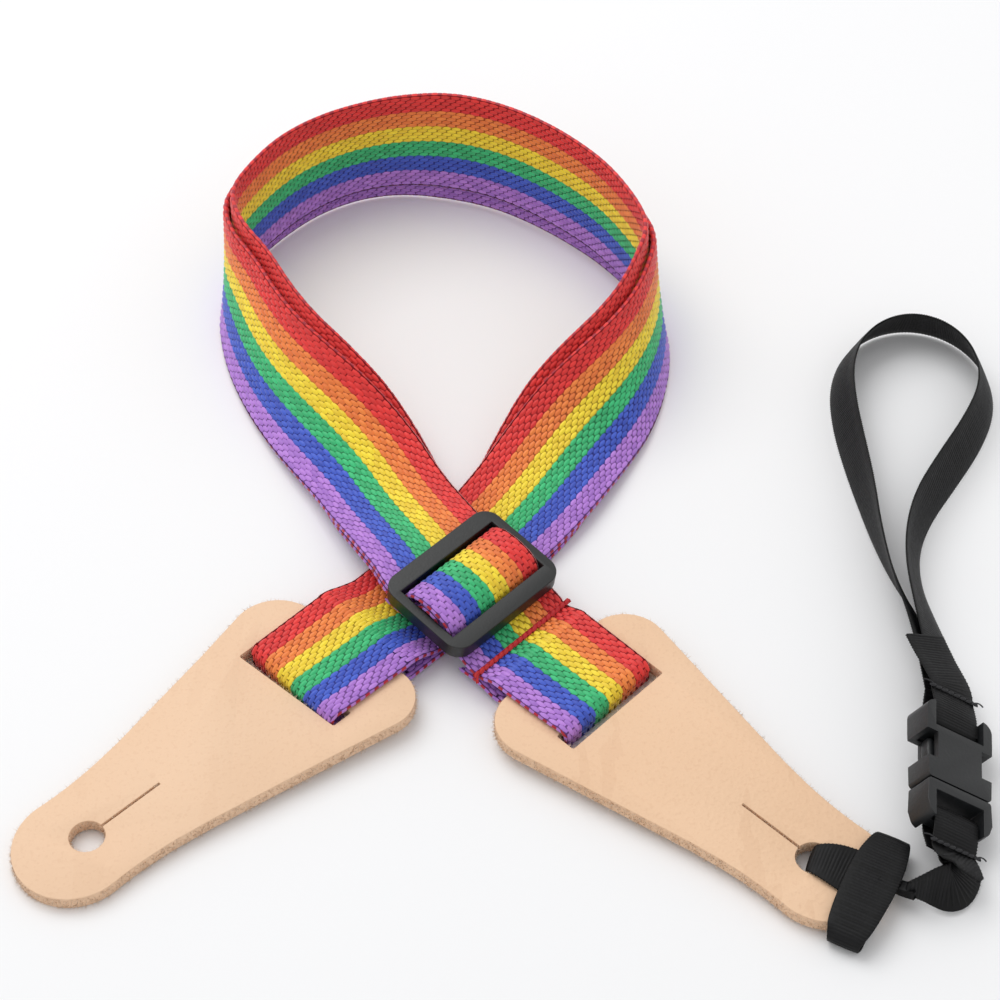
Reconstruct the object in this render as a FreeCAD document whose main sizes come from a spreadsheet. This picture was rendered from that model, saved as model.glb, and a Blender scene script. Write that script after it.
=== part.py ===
import FreeCAD, Part
import math
import os

os.makedirs("parts", exist_ok=True)
doc = FreeCAD.newDocument("instrument_strap")
V = FreeCAD.Vector

# Driving sizes in millimetres and degrees
sizes = {
    "webbingWidth": 25.0,
    "webbingThickness": 1.4,
    "layerPitch": 1.6,
    "ribbonWidth": 10.0,
    "ribbonThickness": 0.6,
    "tabLength": 67.4,
    "tabThickness": 2.8,
    "tabTipRadius": 11.2,
    "tabCornerRadius": 8.2,
    "tabHalfWidth": 20.6,
    "tabSlope": 11.3,
    "holeCentre": 3.1,
    "holeRadius": 3.35,
    "slitEnd": 19.8,
    "slitWidth": 0.5,
    "slotCentre": 52.2,
    "slotWidth": 4.2,
    "slotLength": 25.0,
    "hingeAt": 70.2,
    "slotWebbing": 24.2,
    "barWebbing": 24.4,
    "legGap": 0.1,
    "sliderLength": 21.4,
    "sliderWidth": 29.0,
    "sliderThickness": 3.3,
    "sliderCorner": 3.6,
    "windowLength": 14.2,
    "windowWidth": 25.0,
    "barLength": 2.8,
    "barThickness": 1.4,
    "buckleWidth": 15.0,
    "buckleThickness": 6.0,
    "femaleLength": 17.3,
    "maleLength": 7.8,
    "bucklePocket": 10.8,
    "pocketWidth": 12.6,
    "pocketHeight": 3.4,
    "armThickness": 2.4,
    "buckleWindow": 11.0,
    "threadRadius": 0.35,
}
sheet = doc.addObject("Spreadsheet::Sheet", "Sizes")
for line, (alias, value) in enumerate(sizes.items(), start=1):
    sheet.set("A%d" % line, alias)
    sheet.set("B%d" % line, str(value))
    sheet.setAlias("B%d" % line, alias)
doc.recompute()


def size(alias):
    return float(sheet.get(alias))


webbing = size("webbingThickness")
ribbon = size("ribbonThickness")
tabThick = size("tabThickness")
legGap = size("legGap")
made = []
# brings the middle of the webbing and leather onto the frame's Z axis
centring = V(0.21, 2.37, 0)


def finish(item, label, placement=None):
    item.Label = label
    home = FreeCAD.Placement(centring, FreeCAD.Rotation())
    item.Placement = home.multiply(placement) if placement is not None else home
    made.append(item)
    return item


def addSketch(body, role, lift=0.0):
    sketch = body.newObject("Sketcher::SketchObject", "Outline")
    plane = [f for f in body.Origin.OriginFeatures if f.Role == role][0]
    sketch.AttachmentSupport = [(plane, "")]
    sketch.MapMode = "FlatFace"
    sketch.AttachmentOffset = FreeCAD.Placement(V(0, 0, lift), FreeCAD.Rotation())
    return sketch


def closedLines(sketch, points):
    for start, end in zip(points, points[1:] + points[:1]):
        sketch.addGeometry(Part.LineSegment(V(start[0], start[1], 0), V(end[0], end[1], 0)), False)


def rectangle(sketch, left, right, low, high):
    closedLines(sketch, [(left, low), (right, low), (right, high), (left, high)])


def corners(points, radii):
    """Closed outline with rounded corners, as line and arc pieces."""
    pieces = []
    count = len(points)
    ends = []
    for index, radius in enumerate(radii):
        here = V(points[index][0], points[index][1], 0)
        before = V(points[index - 1][0], points[index - 1][1], 0) - here
        after = V(points[(index + 1) % count][0], points[(index + 1) % count][1], 0) - here
        before.normalize()
        after.normalize()
        if radius <= 0:
            ends.append((here, here))
            continue
        half = before.getAngle(after) / 2
        reach = radius / math.tan(half)
        middle = before + after
        middle.normalize()
        centre = here + middle * (radius / math.sin(half))
        first = here + before * reach
        last = here + after * reach
        pieces.append(Part.Arc(first, centre - middle * radius, last))
        ends.append((first, last))
    for index in range(count):
        start = ends[index][1]
        end = ends[(index + 1) % count][0]
        if (end - start).Length > 1e-6:
            pieces.append(Part.LineSegment(start, end))
    return pieces


def addPieces(sketch, pieces):
    for piece in pieces:
        sketch.addGeometry(piece, False)


def pad(body, sketch, lengthExpression, symmetric=False):
    feature = body.newObject("PartDesign::Pad", "Pad")
    feature.Profile = sketch
    if symmetric:
        feature.SideType = "Symmetric"
    feature.setExpression("Length", lengthExpression)
    sketch.Visibility = False
    return feature


def cutThrough(body, sketch, label="Pocket"):
    feature = body.newObject("PartDesign::Pocket", label)
    feature.Profile = sketch
    feature.SideType = "Symmetric"
    feature.Type = "ThroughAll"
    return feature


def section(point, tangent, across, width, thickness):
    up = tangent.cross(across)
    up.normalize()
    side = up.cross(tangent)
    side.normalize()
    w, t = side * (width / 2), up * (thickness / 2)
    return [point - w - t, point + w - t, point + w + t, point - w + t]


def ruledFace(a, b, c, d):
    """Straight-edged face on the four corners a-b and c-d."""
    surface = Part.BSplineSurface()
    surface.buildFromPolesMultsKnots([[a, b], [c, d]], (2, 2), (2, 2), (0, 1), (0, 1), False, False, 1, 1)
    return surface.toShape()


def ruledSolid(rings):
    """Closed solid from ruled faces between neighbouring four-cornered rings."""
    faces = [Part.Face(Part.makePolygon(ring + ring[:1])) for ring in (rings[0], rings[-1])]
    for near, far in zip(rings, rings[1:]):
        for side in range(4):
            after = (side + 1) % 4
            faces.append(ruledFace(near[side], near[after], far[side], far[after]))
    shell = Part.makeShell(faces)
    shell.sewShape()
    solid = Part.makeSolid(shell)
    if solid.Volume < 0:
        solid.reverse()
    return solid


def strip(label, points, acrosses, width, thickness, firstTangent=None, lastTangent=None):
    """Flat woven strip, with one rectangle at each route point."""
    rings = []
    last = len(points) - 1
    for index, point in enumerate(points):
        inward = (point - points[index - 1]) if index > 0 else None
        onward = (points[index + 1] - point) if index < last else None
        if inward is not None:
            inward.normalize()
        if onward is not None:
            onward.normalize()
        if inward is None:
            tangent = firstTangent or onward
        elif onward is None:
            tangent = lastTangent or inward
        else:
            tangent = inward + onward
        tangent = V(tangent)
        tangent.normalize()
        stretch = 1.0
        if inward is not None and onward is not None:
            stretch = min(1.0 / max(math.cos(inward.getAngle(onward) / 2), 0.5), 1.5)
        rings.append(section(point, tangent, acrosses[index], width, thickness * stretch))
    solid = ruledSolid(rings)
    item = doc.addObject("Part::Feature", "Strip")
    item.Shape = solid
    length = sum((b - a).Length for a, b in zip(points, points[1:]))
    print("%-26s length %6.1f volume %8.1f of %8.1f" % (label, length, solid.Volume, length * width * thickness))
    return finish(item, label)


def turned(rows, turn=1):
    """Route points and width directions from x, y, z and lean; turn is 1 for anticlockwise."""
    points = [V(row[0], row[1], row[2]) for row in rows]
    acrosses = []
    for index, row in enumerate(rows):
        ahead = points[min(index + 1, len(rows) - 1)] - points[max(index - 1, 0)]
        flat = V(ahead.x, ahead.y, 0)
        flat.normalize()
        inside = V(-flat.y, flat.x, 0) * turn
        lean = math.radians(row[3])
        acrosses.append(inside * math.cos(lean) + V(0, 0, 1) * math.sin(lean))
    return points, acrosses


def tabPlacement(x, y, z, yaw, tilt):
    return FreeCAD.Placement(V(x, y, z), FreeCAD.Rotation(yaw, -tilt, 0))


leftTab = tabPlacement(-67.7, -86.2, 0.33, 43.5, 1.5)
rightTab = tabPlacement(67.3, -91.3, 0.93, 136.1, 1.0)


# Leather tabs
def leatherTab(label, placement, skew):
    """Leather end; skew leans the wide end and its slot, as on the hand-cut left one."""
    body = doc.addObject("PartDesign::Body", "Leather")
    outline = addSketch(body, "XY_Plane")
    tip = size("tabTipRadius")
    corner = size("tabCornerRadius")
    end = size("tabLength")
    slope = math.radians(size("tabSlope"))
    halfWidth = size("tabHalfWidth")
    centreX = end - corner
    centreY = halfWidth + (0.0 - corner) / math.cos(slope)
    touch = V(centreX - corner * math.sin(slope), centreY + corner * math.cos(slope), 0)
    middle = V(centreX + corner * math.cos(math.radians(39)), centreY + corner * math.sin(math.radians(39)), 0)
    side = [V(0, tip, 0), V(0.25 * centreX, tip + 0.07 * (halfWidth - tip), 0),
            V(0.5 * centreX, tip + 0.35 * (halfWidth - tip), 0),
            V(0.75 * centreX, tip + 0.66 * (halfWidth - tip), 0), touch]

    def flip(point):
        return V(point.x, -point.y, 0)

    def leant(point):
        share = min(max((point.x - 20.0) / 35.0, 0.0), 1.0)
        return V(point.x + skew * share * point.y, point.y, 0)

    for points in (side, [flip(point) for point in side]):
        curve = Part.BSplineCurve()
        curve.interpolate([leant(point) for point in points])
        outline.addGeometry(curve, False)
    outline.addGeometry(Part.Arc(V(0, tip, 0), V(-tip, 0, 0), V(0, -tip, 0)), False)
    far = V(end, centreY, 0)
    outline.addGeometry(Part.Arc(leant(touch), leant(middle), leant(far)), False)
    outline.addGeometry(Part.Arc(leant(flip(touch)), leant(flip(middle)), leant(flip(far))), False)
    outline.addGeometry(Part.LineSegment(leant(far), leant(flip(far))), False)
    pad(body, outline, "Sizes.tabThickness")
    hole = addSketch(body, "XY_Plane")
    hole.addGeometry(Part.Circle(V(size("holeCentre"), 0, 0), V(0, 0, 1), size("holeRadius")), False)
    cutThrough(body, hole)
    slit = addSketch(body, "XY_Plane")
    half = size("slitWidth") / 2
    rectangle(slit, size("holeCentre"), size("slitEnd"), -half, half)
    cutThrough(body, slit)
    slot = addSketch(body, "XY_Plane")
    halfWide, halfLong = size("slotWidth") / 2, size("slotLength") / 2
    middle = size("slotCentre")
    ring = [(middle - halfWide, -halfLong), (middle + halfWide, -halfLong),
            (middle + halfWide, halfLong), (middle - halfWide, halfLong)]
    ring = [leant(V(x, y, 0)) for x, y in ring]
    addPieces(slot, corners(ring, [0.4] * 4))
    cutThrough(body, slot)
    return finish(body, label, placement)


def webbingTurn(label, placement, slack):
    """Webbing over the end band of a tab, down its slot and back underneath."""
    body = doc.addObject("PartDesign::Body", "Turn")
    outline = addSketch(body, "XZ_Plane")
    wall = size("slotCentre") + size("slotWidth") / 2
    near = wall - legGap - slack
    far = near - webbing
    end = size("hingeAt")
    top = tabThick + legGap
    low = -legGap
    bend = webbing * 0.9
    addPieces(outline, corners(
        [(far, low - webbing), (end, low - webbing), (end, low), (near, low),
         (near, top), (end, top), (end, top + webbing), (far, top + webbing)],
        [bend, 0, 0, 0, 0, 0, 0, bend]))
    pad(body, outline, "Sizes.slotWebbing", True)
    return finish(body, label, placement)


leatherTab("leather_tab_left", leftTab, -0.1)
leatherTab("leather_tab_right", rightTab, 0.0)
webbingTurn("webbing_turn_left", leftTab, 1.25)
webbingTurn("webbing_turn_right", rightTab, 0.0)

# Big doubled loop, anticlockwise from the left tab: x, y, z, lean, drop to the inner layer, its rise
loopRows = [
    (-16.6, -37.6, 5.75, 0, 4.4, 0),
    (-15.2, -36.1, 5.3, 0, 4.0, 0),
    (-13.8, -34.6, 4.2, 0, 3.0, 0),
    (-12.3, -32.9, 3.05, 0, 2.05, 0),
    (-10.7, -31.4, 2.4, 0, 1.6, 0),
    (-5.5, -25.6, 2.4, 0, 1.6, 0),
    (-0.5, -19.8, 2.35, 0, 1.6, 0),
    (4.3, -14.2, 2.4, 0, 1.6, 0),
    (8.5, -9.1, 2.45, 0, 1.6, 0),
    (12.8, -3.9, 3.3, 3, 1.9, 0.2),
    (16.8, 1.5, 4.3, 7, 2.1, 0.6),
    (21.2, 8.0, 5.6, 15, 2.2, 1.4),
    (26.4, 14.9, 7.7, 31, 2.3, 2.2),
    (32.0, 21.2, 10.0, 48, 2.2, 2.4),
    (37.2, 28.6, 11.6, 62, 2.1, 2.6),
    (40.8, 36.8, 12.2, 71, 2.0, 3.0),
    (42.7, 46.0, 12.6, 78, 1.9, 3.4),
    (42.5, 54.6, 12.8, 87, 1.8, 3.8),
    (38.8, 62.4, 12.8, 91, 1.7, 4.0),
    (32.5, 72.3, 12.8, 94, 1.6, 4.2),
    (25.1, 80.2, 12.8, 96, 1.6, 4.2),
    (16.6, 87.2, 12.9, 97, 1.6, 4.2),
    (7.5, 92.6, 12.9, 97, 1.6, 4.2),
    (-2.1, 95.6, 12.9, 97, 1.6, 4.2),
    (-12.3, 96.3, 12.9, 92, 1.6, 4.2),
    (-21.9, 94.5, 12.9, 90, 1.6, 4.0),
    (-31.2, 89.9, 12.9, 91, 1.6, 3.8),
    (-39.2, 82.8, 12.9, 93, 1.6, 3.6),
    (-45.4, 74.3, 12.8, 92, 1.6, 3.4),
    (-50.2, 65.4, 12.9, 90, 1.8, 3.2),
    (-50.0, 56.2, 12.8, 82, 1.9, 3.0),
    (-46.7, 47.2, 12.2, 69, 2.0, 2.8),
    (-43.1, 37.8, 11.7, 63, 2.1, 2.6),
    (-38.3, 28.8, 11.2, 57, 2.1, 2.4),
    (-31.9, 20.6, 10.1, 46, 2.2, 2.2),
    (-25.0, 13.4, 8.0, 28, 2.3, 1.8),
    (-18.7, 6.1, 5.6, 12, 2.2, 1.0),
    (-15.3, 0.3, 5.0, 5, 1.9, 0.4),
    (-12.2, -5.0, 5.3, 1, 1.6, 0),
    (-9.6, -9.6, 6.3, 0, 1.6, 0),
    (-7.2, -13.8, 7.1, 0, 1.6, 0),
    (-4.9, -17.6, 7.6, 0, 1.6, 0),
]
sliderCentre = V(3.6, -29.0, 9.05)
sliderTurn = FreeCAD.Rotation(135.9, -8, 0)
sliderPlacement = FreeCAD.Placement(sliderCentre, sliderTurn)


def onSlider(x, z, y=0.0):
    return sliderPlacement.multVec(V(x, y, z))


loopPoints, loopAcross = turned(loopRows)
sliderAcross = sliderTurn.multVec(V(0, 1, 0))
# the last stretch runs straight under the slider's far bar
bars = [onSlider(9.6, -2.6, -0.5), onSlider(7.5, -2.6, -0.2)]
outerPoints = loopPoints + bars
outerAcross = loopAcross + [sliderAcross * -1] * len(bars)
hingeLeft = leftTab.Rotation.multVec(V(1, 0, 0))
hingeRight = rightTab.Rotation.multVec(V(1, 0, 0))
intoSlider = sliderTurn.multVec(V(-1, 0, 0))
width = size("webbingWidth")
strip("webbing_outer_layer", outerPoints, outerAcross, width, webbing, hingeLeft, intoSlider)

innerPoints = []
for index, row in enumerate(loopRows):
    ahead = loopPoints[min(index + 1, len(loopRows) - 1)] - loopPoints[max(index - 1, 0)]
    ahead.z = 0
    outward = ahead.cross(loopAcross[index])
    outward.normalize()
    drop = row[4] * size("layerPitch") / 1.6
    innerPoints.append(loopPoints[index] - outward * drop + loopAcross[index] * row[5])
innerPoints += [onSlider(9.6, -4.2, -0.5), onSlider(7.8, -4.2, -0.2)]
strip("webbing_inner_layer", innerPoints, outerAcross, width, webbing, hingeLeft, intoSlider)


# Adjuster slider and the webbing on its bars
def sliderFrame():
    body = doc.addObject("PartDesign::Body", "Slider")
    outline = addSketch(body, "XY_Plane")
    long, wide = size("sliderLength") / 2, size("sliderWidth") / 2
    addPieces(outline, corners([(-long, -wide), (long, -wide), (long, wide), (-long, wide)],
                               [size("sliderCorner")] * 4))
    pad(body, outline, "Sizes.sliderThickness", True)
    inner, halfWide, bar = size("windowLength") / 2, size("windowWidth") / 2, size("barLength") / 2
    for sign in (-1, 1):
        window = addSketch(body, "XY_Plane")
        left, right = sorted((sign * bar, sign * inner))
        rectangle(window, left, right, -halfWide, halfWide)
        cutThrough(body, window)
    for sign in (-1, 1):
        relief = addSketch(body, "XZ_Plane")
        low, high = sorted((sign * size("barThickness") / 2, sign * size("sliderThickness")))
        rectangle(relief, -bar - 0.1, bar + 0.1, low, high)
        feature = body.newObject("PartDesign::Pocket", "Relief")
        feature.Profile = relief
        feature.SideType = "Symmetric"
        feature.setExpression("Length", "Sizes.windowWidth")
    return finish(body, "slider_frame", sliderPlacement)


sliderFrame()
humpRoute = [(7.0, -2.55), (5.8, -2.1), (4.8, -0.6), (4.3, 1.1), (3.0, 2.75), (1.1, 3.2),
             (-1.1, 3.2), (-3.0, 2.75), (-4.3, 1.1), (-4.8, -0.6), (-5.8, -2.1), (-7.1, -2.6)]
strip("webbing_hump", [onSlider(x, z) for x, z in humpRoute], [sliderAcross] * len(humpRoute), size("barWebbing"), webbing,
      intoSlider, intoSlider)
barRoute = [(6.8, -4.1), (5.1, -3.5), (3.5, -2.3), (2.5, -0.7), (2.45, 0.5), (1.75, 1.45), (0.0, 1.6),
            (-1.75, 1.45), (-2.45, 0.5), (-2.45, -0.6), (-1.7, -1.8), (0.0, -2.7), (2.5, -4.4), (5.4, -5.7),
            (8.0, -5.95), (10.2, -6.0)]
barPoints = [onSlider(x, z) for x, z in barRoute]
strip("webbing_bar_loop", barPoints, [sliderAcross] * len(barRoute), size("barWebbing"), webbing, intoSlider)

# Right tab: doubled end between the hinge line and the slider, along the tab's own line
tabAxis = V(math.cos(math.radians(136.1)), math.sin(math.radians(136.1)), 0)
tabTip = V(67.3, -91.3, 0)
tabAcross = V(-tabAxis.y, tabAxis.x, 0)


def alongTab(distance, height):
    return tabTip + tabAxis * distance + V(0, 0, height)


runRoute = [(70.5, 5.75), (71.6, 5.5), (73.2, 4.6), (74.9, 4.15), (76.8, 4.45)]
runPoints = [alongTab(u, z) for u, z in runRoute] + [onSlider(-10.0, -2.6), onSlider(-7.5, -2.6)]
strip("webbing_tail_run", runPoints, [tabAcross] * len(runPoints), width, webbing, hingeRight, tabAxis)
endRoute = [(70.5, 1.35), (71.6, 1.5), (73.2, 2.1), (74.9, 2.4), (77.2, 2.4), (79.0, 2.3)]
endPoints = [alongTab(u, z) for u, z in endRoute]
strip("webbing_folded_end", endPoints, [tabAcross] * len(endPoints), width, webbing, hingeRight)


def stitchLine(label, start, end, radiusAlias):
    """One seam's thread, lying on the strip from start to end."""
    item = doc.addObject("Part::Cylinder", "Thread")
    item.setExpression("Radius", "Sizes.%s" % radiusAlias)
    reach = end - start
    item.Height = reach.Length
    turn = FreeCAD.Rotation(V(0, 0, 1), reach)
    return finish(item, label, FreeCAD.Placement(start, turn))


lift = webbing / 2 + size("threadRadius") + 0.12
seam = alongTab(74.9, 4.15 + lift)
stitchLine("tab_stitch", seam - tabAcross * 12.4, seam + tabAcross * 12.4, "threadRadius")
# Side-release buckle, in its own frame: X across, Y towards the socket's bar, Z through
bucklePlacement = FreeCAD.Placement(V(90.42, -77.94, 6.9), FreeCAD.Rotation(-4.9, 31.5, 2.7))
buckleHalf = size("buckleWidth") / 2
buckleThick = size("buckleThickness")


def onBuckle(x, y, z):
    return bucklePlacement.multVec(V(x, y, z))


def socket():
    body = doc.addObject("PartDesign::Body", "Socket")
    end = size("femaleLength")
    outline = addSketch(body, "XY_Plane")
    ring = [(-buckleHalf + 0.4, 0.15), (buckleHalf - 0.4, 0.15), (buckleHalf, end - 5), (buckleHalf, end),
            (-buckleHalf, end), (-buckleHalf, end - 5)]
    addPieces(outline, corners(ring, [0.8, 0.8, 0, 2.2, 2.2, 0]))
    pad(body, outline, "Sizes.buckleThickness", True)
    window = addSketch(body, "XY_Plane")
    half = size("buckleWindow") / 2
    rectangle(window, -half, half, 11.9, 14.4)
    cutThrough(body, window)
    pocket = addSketch(body, "XZ_Plane")
    wide, high = size("pocketWidth") / 2, size("pocketHeight") / 2
    rectangle(pocket, -wide, wide, -high, high)
    feature = body.newObject("PartDesign::Pocket", "Cavity")
    feature.Profile = pocket
    feature.setExpression("Length", "Sizes.bucklePocket")
    for sign in (-1, 1):
        cheek = addSketch(body, "XY_Plane")
        left, right = sorted((sign * 5.0, sign * (buckleHalf + 1)))
        rectangle(cheek, left, right, 4.6, 10.4)
        cutThrough(body, cheek)
    relief = addSketch(body, "YZ_Plane")
    rectangle(relief, 14.0, end + 1, 1.3, buckleThick)
    rectangle(relief, 14.0, end + 1, -buckleThick, -1.3)
    feature = body.newObject("PartDesign::Pocket", "BarRelief")
    feature.Profile = relief
    feature.SideType = "Symmetric"
    feature.setExpression("Length", "Sizes.buckleWindow")
    return finish(body, "buckle_socket", bucklePlacement)


def plugBase():
    body = doc.addObject("PartDesign::Body", "Plug")
    end = size("maleLength")
    outline = addSketch(body, "XY_Plane")
    ring = [(-buckleHalf + 0.4, -0.15), (buckleHalf - 0.4, -0.15), (buckleHalf - 0.2, -5), (buckleHalf - 1.2, -end),
            (-buckleHalf + 1.2, -end), (-buckleHalf + 0.2, -5)]
    addPieces(outline, corners(ring, [0.6, 0.6, 0, 1.8, 1.8, 0]))
    pad(body, outline, "Sizes.buckleThickness", True)
    window = addSketch(body, "XY_Plane")
    half = size("buckleWindow") / 2 - 0.1
    rectangle(window, -half, half, -4.9, -2.2)
    cutThrough(body, window)
    tongue = addSketch(body, "XZ_Plane", 0.5)
    rectangle(tongue, -1.5, 1.5, -0.9, 0.9)
    guide = body.newObject("PartDesign::Pad", "Tongue")
    guide.Profile = tongue
    guide.Reversed = True
    guide.Length = 8.5
    relief = addSketch(body, "YZ_Plane")
    rectangle(relief, -end - 1, -4.8, 1.1, buckleThick)
    rectangle(relief, -end - 1, -4.8, -buckleThick, -1.1)
    feature = body.newObject("PartDesign::Pocket", "BarRelief")
    feature.Profile = relief
    feature.SideType = "Symmetric"
    feature.Length = 2 * half
    return finish(body, "buckle_plug", bucklePlacement)


def releaseArm(label, sign):
    body = doc.addObject("PartDesign::Body", "Arm")
    outline = addSketch(body, "XY_Plane")
    ring = [(2.6, 0.05), (4.0, 0.05), (4.4, 4.9), (5.7, 5.1), (6.0, 7.4), (5.8, 10.0), (4.6, 10.1), (3.3, 6.0)]
    closedLines(outline, [(sign * x, y) for x, y in ring])
    pad(body, outline, "Sizes.armThickness", True)
    return finish(body, label, bucklePlacement)


socket()
plugBase()
releaseArm("release_arm_left", -1)
releaseArm("release_arm_right", 1)

# Ribbon folds over the two buckle bars, drawn in the buckle's frame as y and z
ribbonWidth = size("ribbonWidth")
buckleAcross = bucklePlacement.Rotation.multVec(V(1, 0, 0))
socketFold = [(22.0, -1.1), (19.0, -1.75), (17.6, -1.8), (14.0, -1.8), (13.3, -1.1), (13.2, 0.0), (13.3, 1.1),
              (14.0, 1.8), (17.6, 1.8), (19.5, 1.4), (22.0, 0.75), (24.5, 0.6)]
foldPoints = [onBuckle(0, y, z) for y, z in socketFold]
tailPoints = [onBuckle(-1.8, 28.0, 0.0), onBuckle(-3.2, 31.5, -0.9), onBuckle(-4.6, 35.0, -1.5)]
foldAcross = [buckleAcross] * len(foldPoints)
foldAcross += [onBuckle(1, y, 0) - onBuckle(0, 0, 0) for y in (0.12, 0.25, 0.3)]
strip("ribbon_socket_fold", foldPoints + tailPoints, foldAcross, ribbonWidth, ribbon)
plugFold = [(-12.2, -0.55), (-10.2, -1.2), (-8.8, -1.7), (-5.4, -1.75), (-4.4, -1.2), (-4.15, 0.0), (-4.4, 1.2),
            (-5.4, 1.7), (-8.8, 1.7), (-10.2, 1.35), (-12.2, 0.9), (-12.6, 0.95)]
looseRows = [(2.4, -14.2, 1.9), (4.9, -16.6, 2.2)]
plugPoints = [onBuckle(0, y, z) for y, z in plugFold] + [onBuckle(x, y, z) for x, y, z in looseRows]
strip("ribbon_plug_fold", plugPoints, [buckleAcross] * len(plugPoints), ribbonWidth, ribbon)


def ribbonSeam(label, y, z):
    stitchLine(label, onBuckle(-4.8, y, z), onBuckle(4.8, y, z), "threadRadius")


ribbonSeam("socket_fold_stitch", 22.0, 0.75 + ribbon / 2 + 0.5)
ribbonSeam("plug_fold_stitch", -12.0, 1.14 + ribbon / 2 + 0.5)

# Head loop: clockwise from the sewn seam up its left side and back: x, y, z, lean
headRows = [
    (92.6, -54.0, 5.7, 148),
    (91.8, -46.5, 5.6, 140),
    (89.8, -36.5, 5.6, 125),
    (86.4, -26.0, 5.6, 108),
    (84.2, -14.0, 5.4, 92),
    (83.0, -2.0, 5.2, 78),
    (81.6, 10.0, 5.0, 70),
    (80.6, 21.0, 5.0, 66),
    (80.9, 31.5, 5.0, 65),
    (83.8, 40.0, 5.0, 65),
    (89.4, 46.2, 5.0, 65),
    (96.5, 48.6, 5.0, 66),
    (103.4, 46.8, 5.0, 66),
    (108.6, 41.6, 5.0, 66),
    (111.3, 34.0, 5.0, 66),
    (110.9, 25.0, 5.0, 65),
    (106.6, 15.2, 4.9, 62),
    (99.9, 4.4, 4.9, 62),
    (94.2, -5.0, 5.0, 66),
    (90.9, -14.0, 5.2, 70),
    (90.0, -23.5, 5.3, 66),
    (91.3, -33.5, 5.2, 56),
    (93.0, -43.5, 4.9, 44),
    (93.6, -52.0, 4.5, 32),
    (93.0, -55.2, 4.4, 32),
]
headPoints, headAcross = turned(headRows, -1)
strip("ribbon_head_loop", headPoints, headAcross, ribbonWidth, ribbon)

# Tether from the plug round to the hitch: x, y, z, lean
tetherRows = [
    (91.1, -90.8, 3.2, 32),
    (90.8, -93.2, 3.5, 36),
    (89.4, -95.6, 4.0, 44),
    (86.4, -95.9, 4.9, 64),
    (83.6, -96.4, 5.3, 76),
    (81.0, -96.7, 5.3, 80),
]
tetherPoints, tetherAcross = turned(tetherRows, -1)
strip("ribbon_tether", tetherPoints, tetherAcross, ribbonWidth, ribbon)

# Lark's head hitch round the right tab's tip
holeBand = [V(64.5, -89.0, 1.2), V(64.4, -89.1, 3.2), V(65.0, -89.4, 4.3), V(68.0, -90.6, 4.6), V(71.0, -92.0, 4.15),
            V(73.5, -93.4, 4.1)]
strip("hitch_hole_band", holeBand, [V(-0.35, -0.94, 0)] * len(holeBand), 4.6, ribbon)
bandMiddle = V(73.5, -95.2, 0)
bandLine = V(0.65, 0.76, 0)
bandRoute = [(-3.0, 0.37), (9.4, 0.37), (10.9, 0.8), (11.5, 2.2), (11.2, 3.7), (9.6, 4.75), (4.5, 5.1), (-2.0, 4.95),
             (-10.4, 4.55), (-12.4, 3.6), (-13.0, 2.1), (-12.4, 0.8), (-10.8, 0.37), (-4.0, 0.37)]
crossBand = [bandMiddle + bandLine * along + V(0, 0, height) for along, height in bandRoute]
strip("hitch_cross_band", crossBand, [V(0.76, -0.65, 0)] * len(crossBand), 7.6, ribbon)

doc.recompute()
for item in made:
    if "Invalid" in item.State or "Error" in item.State:
        raise RuntimeError("%s did not rebuild" % item.Label)
    shape = item.Shape
    if shape.isNull() or not shape.isValid() or shape.Volume <= 0:
        raise RuntimeError("%s has no sound solid" % item.Label)
    if len(shape.Solids) != 1:
        raise RuntimeError("%s has %d solids" % (item.Label, len(shape.Solids)))
    box = shape.BoundBox
    print("%-22s x %7.2f %7.2f  y %7.2f %7.2f  z %6.2f %6.2f" % (
        item.Label, box.XMin, box.XMax, box.YMin, box.YMax, box.ZMin, box.ZMax))
    shape.exportStep("parts/%s.step" % item.Label)
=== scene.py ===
import bpy
import bmesh
from math import cos, radians, sin
from mathutils import Euler, Matrix, Vector


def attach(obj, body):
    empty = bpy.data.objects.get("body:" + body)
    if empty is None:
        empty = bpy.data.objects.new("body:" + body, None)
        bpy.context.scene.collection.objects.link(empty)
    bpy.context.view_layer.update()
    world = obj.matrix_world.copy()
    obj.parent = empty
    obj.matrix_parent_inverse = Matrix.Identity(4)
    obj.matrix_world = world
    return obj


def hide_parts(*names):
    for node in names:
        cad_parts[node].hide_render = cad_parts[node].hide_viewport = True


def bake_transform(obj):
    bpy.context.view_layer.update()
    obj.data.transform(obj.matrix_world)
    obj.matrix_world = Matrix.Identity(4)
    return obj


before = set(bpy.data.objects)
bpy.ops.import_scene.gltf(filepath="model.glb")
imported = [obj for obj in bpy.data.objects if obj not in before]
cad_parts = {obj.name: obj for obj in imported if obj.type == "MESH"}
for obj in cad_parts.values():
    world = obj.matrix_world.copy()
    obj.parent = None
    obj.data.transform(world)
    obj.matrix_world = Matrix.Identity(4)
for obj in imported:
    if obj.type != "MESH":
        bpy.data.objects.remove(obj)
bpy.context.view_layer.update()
scene = bpy.context.scene
mm = 0.001

cameraValues = {"place": (0.00921, -0.34322, 0.3788), "tilt": 42.46, "fieldOfView": 22.49}
camera = bpy.data.objects.new("camera", bpy.data.cameras.new("camera"))
camera.location = cameraValues["place"]
camera.rotation_euler = (radians(cameraValues["tilt"]), 0, 0)
camera.data.angle = radians(cameraValues["fieldOfView"])
camera.data.clip_start = 0.01
scene.collection.objects.link(camera)
scene.camera = camera
print("camera ready")

# the CAD source has the same centring, in millimetres
centring = Vector((0.21, 2.37, 0.0))


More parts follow.
